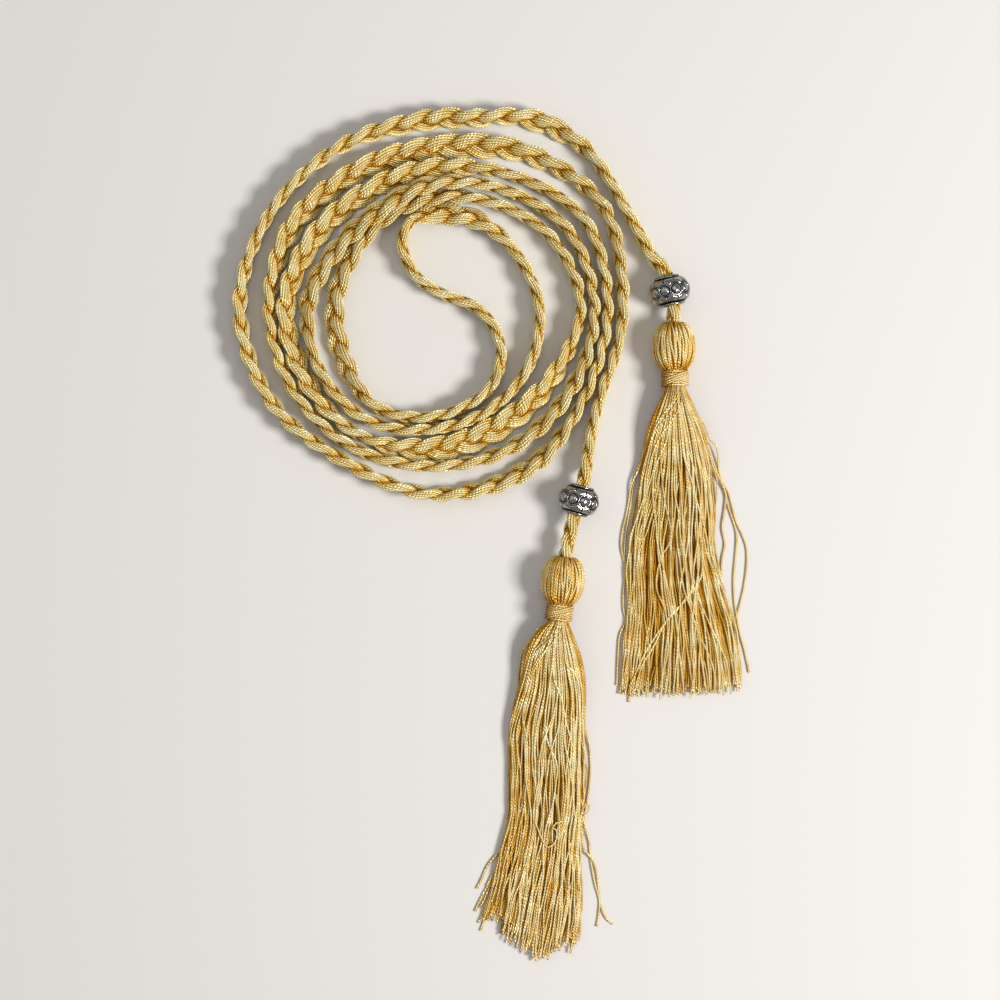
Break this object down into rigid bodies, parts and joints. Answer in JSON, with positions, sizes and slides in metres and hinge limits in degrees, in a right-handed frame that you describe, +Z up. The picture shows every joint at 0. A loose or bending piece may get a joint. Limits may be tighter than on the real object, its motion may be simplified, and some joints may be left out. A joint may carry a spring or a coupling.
{
  "type": "cincture cord",
  "caption": "Gold braided cincture cord laid in a loose double spiral, with a silver bead and a thread tassel at each end, for tying round the waist of a robe.",
  "frame": {"origin": "on the table the cord lies on, under the middle of the whole laid-out cord", "axes": "+Z up from the table, +Y from the tassels towards the coil, +X to the right as seen from above"},
  "size_m": [0.158, 0.2654, 0.0132],
  "materials": {
    "gold_plait": "satin gold thread, plaited",
    "gold_thread": "satin gold thread, twisted",
    "binding_thread": "satin gold thread, wound",
    "antique_silver": "cast, darkened in the hollows, polished on the raised work"
  },
  "bodies": {
    "root": {"cord": "gold_plait", "bead_upper": "antique_silver", "bead_lower": "antique_silver", "tassel_upper": "gold_thread", "tassel_lower": "gold_thread", "binding_upper": "binding_thread", "binding_lower": "binding_thread"}
  },
  "joints": []
}
